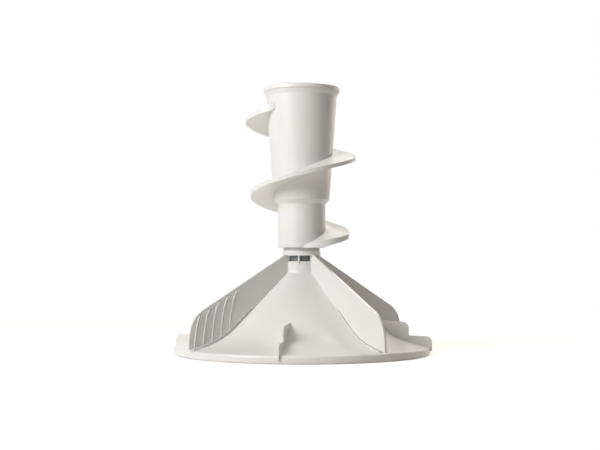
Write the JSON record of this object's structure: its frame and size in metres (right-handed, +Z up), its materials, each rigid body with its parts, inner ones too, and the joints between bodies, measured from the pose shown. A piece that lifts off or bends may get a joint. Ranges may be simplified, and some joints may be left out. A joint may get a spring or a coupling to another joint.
{
  "type": "washing machine agitator",
  "caption": "Two-part washing machine agitator: a finned bell skirt with slotted vanes, and a screw-flight auger with cap that ratchets on the skirt's column.",
  "frame": {"origin": "centre of the skirt's foot ring, on the surface it stands on", "axes": "+Z up the drive axis; +X to the right in the picture's view, +Y away from the camera"},
  "size_m": [0.3414, 0.3414, 0.3533],
  "materials": {
    "white_plastic": "white moulded polypropylene, satin",
    "dark_plastic": "dark grey glass-filled plastic, matt",
    "bearing_plastic": "grey bearing plastic, matt",
    "acetal": "natural acetal, slightly glossy",
    "steel": "zinc-plated",
    "rubber": "black rubber, matt"
  },
  "bodies": {
    "base": {"skirt": "white_plastic", "drive_column": "dark_plastic", "spline_insert": "dark_plastic", "shaft_seal": "rubber", "bolt_seal": "rubber", "bolt_washer": "steel", "drive_bolt": "steel", "hub_screws": "steel", "thrust_washer": "bearing_plastic", "upper_bearing": "acetal", "clutch_driver": "dark_plastic", "dog_retainer": "dark_plastic"},
    "auger": {"auger": "white_plastic", "flight": "white_plastic", "auger_bush": "acetal"},
    "barrier": {"barrier_cap": "white_plastic", "barrier_o_ring": "rubber"},
    "cap": {"cap": "white_plastic"},
    "dog_1": {"dog_1": "acetal"},
    "dog_2": {"dog_2": "acetal"},
    "dog_3": {"dog_3": "acetal"},
    "dog_4": {"dog_4": "acetal"}
  },
  "joints": [
    {"name": "auger_spin", "type": "hinge", "parent": "base", "child": "auger", "pos_m": [0, 0, 0.14], "axis": [0, 0, 1], "continuous": true},
    {"name": "dog_1_swing", "type": "hinge", "parent": "base", "child": "dog_1", "pos_m": [0.023, -0.006, 0.211], "axis": [0, 0, -1], "range_deg": [0, 16]},
    {"name": "dog_2_swing", "type": "hinge", "parent": "base", "child": "dog_2", "pos_m": [0.006, 0.023, 0.211], "axis": [0, 0, -1], "range_deg": [0, 16]},
    {"name": "dog_3_swing", "type": "hinge", "parent": "base", "child": "dog_3", "pos_m": [-0.023, 0.006, 0.211], "axis": [0, 0, -1], "range_deg": [0, 16]},
    {"name": "dog_4_swing", "type": "hinge", "parent": "base", "child": "dog_4", "pos_m": [-0.006, -0.023, 0.211], "axis": [0, 0, -1], "range_deg": [0, 16]},
    {"name": "barrier_lift", "type": "slide", "parent": "auger", "child": "barrier", "axis": [0, 0, 1], "range_m": [0, 0.06]},
    {"name": "cap_lift", "type": "slide", "parent": "auger", "child": "cap", "axis": [0, 0, 1], "range_m": [0, 0.06]}
  ],
  "couplings": [
    {"joint": "dog_2_swing", "follows": "dog_1_swing", "ratio": 1},
    {"joint": "dog_3_swing", "follows": "dog_1_swing", "ratio": 1},
    {"joint": "dog_4_swing", "follows": "dog_1_swing", "ratio": 1}
  ]
}
